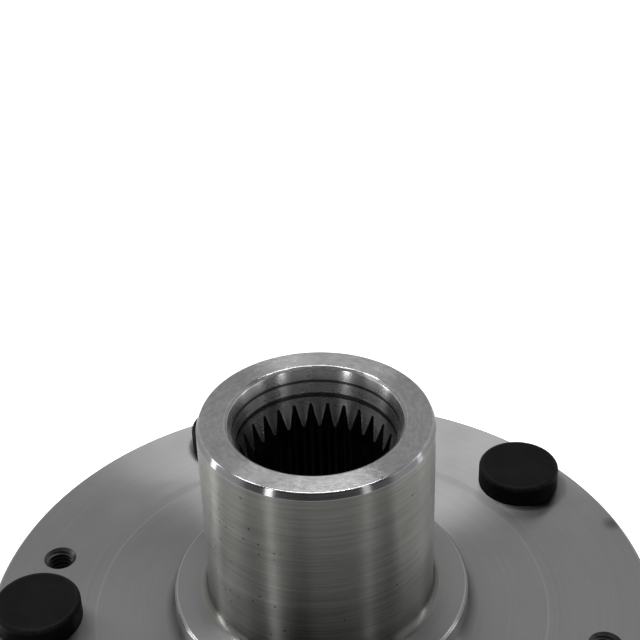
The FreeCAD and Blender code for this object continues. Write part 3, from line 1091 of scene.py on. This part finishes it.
def floor_material(stage):
    """A pale floor that takes the hub's shadow, and shows white to the camera and in reflections."""
    material, tree, surface = empty_material("floor")
    diffuse = add_node(tree, "ShaderNodeBsdfDiffuse", {"Color": (*stage.floor_colour, 1.0)})
    position = add_node(tree, "ShaderNodeTexCoord").outputs["Object"]
    level = maths(tree, "MULTIPLY", seen_level(tree, position, stage), FLOOR_GLOW)
    glow = add_node(tree, "ShaderNodeEmission", {"Color": WHITE, "Strength": level})
    both = add_node(tree, "ShaderNodeAddShader", {0: diffuse.outputs[0], 1: glow.outputs[0]})
    tree.links.new(both.outputs[0], surface)
    return material


def seen_level(tree, direction, stage):
    """How bright the background is to a ray.

    It is 1, white, to the camera, and so it is in what metal reflects and glass passes on at the
    back and the sides, where the backdrop stands. The room in front of it and overhead is
    dimmer. It is 0 to the rays that only gather light."""
    path = add_node(tree, "ShaderNodeLightPath").outputs
    passed = maths(tree, "MAXIMUM", path["Is Glossy Ray"], path["Is Transmission Ray"])
    axes = add_node(tree, "ShaderNodeSeparateXYZ", {0: direction}).outputs
    run = level_length(tree, axes["X"], axes["Y"])
    frontness = maths(tree, "DIVIDE", maths(tree, "MULTIPLY", axes["Y"], -1.0), run)
    steepness = maths(tree, "DIVIDE", axes["Z"], run)
    front = remap(tree, steepness, stage.front_level, stage.front_high_level, *FRONT_RISE)
    level = remap(tree, frontness, 1.0, front, *FRONTWARD)
    shade = remap(tree, steepness, 1.0, stage.overhead_level, *OVERHEAD_RISE)
    reflected = maths(tree, "MULTIPLY", passed, maths(tree, "MINIMUM", level, shade))
    return maths(tree, "MAXIMUM", path["Is Camera Ray"], reflected)


def make_floor(stage):
    """A square that the studs' ends stand on."""
    mesh = bmesh.new()
    half = stage.floor_size / 2
    floor_z = min(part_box(node)[0].z for node in STUD_NODES)
    corners = [(-half, -half), (half, -half), (half, half), (-half, half)]
    mesh.faces.new([mesh.verts.new((x, y, floor_z)) for x, y in corners])
    to_object(mesh, "floor", [floor_material(stage)])


def make_world(stage):
    """The backdrop that is seen and reflected, and the even light all round."""
    world = bpy.data.worlds.new("studio")
    world.use_nodes = True
    tree = world.node_tree
    background = tree.nodes["Background"]
    background.inputs["Color"].default_value = WHITE
    direction = add_node(tree, "ShaderNodeTexCoord").outputs["Generated"]
    seen = seen_level(tree, direction, stage)
    path = add_node(tree, "ShaderNodeLightPath").outputs
    gathers = maths(tree, "MAXIMUM", path["Is Diffuse Ray"], path["Is Shadow Ray"])
    light = maths(tree, "MULTIPLY", gathers, stage.world_light)
    tree.links.new(maths(tree, "MAXIMUM", seen, light), background.inputs["Strength"])
    bpy.context.scene.world = world


def make_lamp(name, place, target, width, depth, energy):
    """A rectangular lamp that shines at the target."""
    data = bpy.data.lights.new(name, "AREA")
    data.shape = "RECTANGLE"
    data.size = width
    data.size_y = depth
    data.energy = energy
    lamp = place_in_scene(name, data)
    lamp.location = place
    lamp.rotation_euler = (target - Vector(place)).to_track_quat("-Z", "Y").to_euler()


def make_lamps(stage, target):
    """Two large lamps overhead and the narrow ones round the neck."""
    make_lamp("key", KEY_PLACE, target, KEY_WIDTH, OVERHEAD_DEPTH, stage.key_power)
    make_lamp("side", SIDE_PLACE, target, SIDE_WIDTH, OVERHEAD_DEPTH, stage.side_power)
    for towards, strength in STRIPS:
        place = on_circle(STRIP_CIRCLE, math.radians(towards)) + Vector((0.0, 0.0, STRIP_HEIGHT))
        make_lamp("strip", place, target, STRIP_WIDTH, STRIP_LENGTH, stage.strip_power * strength)


def make_camera(stage, target):
    """A camera that sees the target as far off its middle as the stage says."""
    data = bpy.data.cameras.new("camera")
    data.lens = stage.focal_length
    data.clip_start = CLIP_START
    look_down = stage.elevation
    right = Vector((1.0, 0.0, 0.0))
    down = Vector((0.0, -math.sin(look_down), -math.cos(look_down)))
    forward = Vector((0.0, math.cos(look_down), -math.sin(look_down)))
    rolled_right = right * math.cos(stage.roll) - down * math.sin(stage.roll)
    rolled_down = right * math.sin(stage.roll) + down * math.cos(stage.roll)
    place = target - (rolled_right * stage.aim_right + rolled_down * stage.aim_down
                      + forward * stage.distance)
    axes = Matrix((rolled_right, -rolled_down, -forward)).transposed()
    camera = place_in_scene("camera", data)
    camera.matrix_world = Matrix.Translation(place) @ axes.to_4x4()
    bpy.context.scene.camera = camera


class WHEELHUB_OT_hub(bpy.types.Operator):
    """Make the hub, with its splined bore and flange holes"""

    bl_idname = "wheel_hub.hub"
    bl_label = "Hub"

    def execute(self, context):
        make_hub()
        return {"FINISHED"}


class WHEELHUB_OT_studs(bpy.types.Operator):
    """Make the five pressed-in wheel studs"""

    bl_idname = "wheel_hub.studs"
    bl_label = "Wheel studs"

    def execute(self, context):
        material = black_oxide()
        for node in STUD_NODES:
            make_stud(node, material)
        return {"FINISHED"}


class WHEELHUB_OT_stage(bpy.types.Operator):
    """Make the floor, the light and the camera"""

    bl_idname = "wheel_hub.stage"
    bl_label = "Stage"

    def execute(self, context):
        stage = settings().stage
        neck_end = Vector((0.0, 0.0, settings().hub.end_z))
        make_floor(stage)
        make_world(stage)
        make_lamps(stage, neck_end)
        make_camera(stage, neck_end)
        context.scene.view_settings.view_transform = "Standard"
        return {"FINISHED"}


class WheelHubSettings(bpy.types.PropertyGroup):
    """Everything about the wheel hub that a user may change."""

    hub: PointerProperty(type=HubSizes, name="Hub", description="Sizes of the hub")
    spline: PointerProperty(type=SplineSizes, name="Spline", description="Sizes of the spline")
    stud: PointerProperty(type=StudSizes, name="Stud", description="Sizes of the studs")
    screw_hole: PointerProperty(type=ScrewHoleSizes, name="Screw holes",
                                description="Sizes of the threaded holes")
    finishes: PointerProperty(type=Finishes, name="Finishes", description="Colours and polish")
    stage: PointerProperty(type=StageSizes, name="Stage", description="Camera, floor and light")


class WHEELHUB_PT_panel(bpy.types.Panel):
    """Lists the operators that build the wheel hub"""

    bl_idname = "WHEELHUB_PT_panel"
    bl_label = "Wheel Hub"
    bl_space_type = "VIEW_3D"
    bl_region_type = "UI"
    bl_category = "Wheel Hub"

    def draw(self, context):
        for operator in OPERATORS:
            self.layout.operator(operator.bl_idname)


OPERATORS = (WHEELHUB_OT_hub, WHEELHUB_OT_studs, WHEELHUB_OT_stage)
GROUPS = (HubSizes, SplineSizes, StudSizes, ScrewHoleSizes, Finishes, StageSizes, WheelHubSettings)
CLASSES = GROUPS + OPERATORS + (WHEELHUB_PT_panel,)


def register():
    for item in CLASSES:
        bpy.utils.register_class(item)
    bpy.types.Scene.wheel_hub = PointerProperty(type=WheelHubSettings)


def unregister():
    del bpy.types.Scene.wheel_hub
    for item in reversed(CLASSES):
        bpy.utils.unregister_class(item)


def main():
    register()
    bpy.ops.wheel_hub.hub()
    bpy.ops.wheel_hub.studs()
    bpy.ops.wheel_hub.stage()


if __name__ == "__main__":
    main()
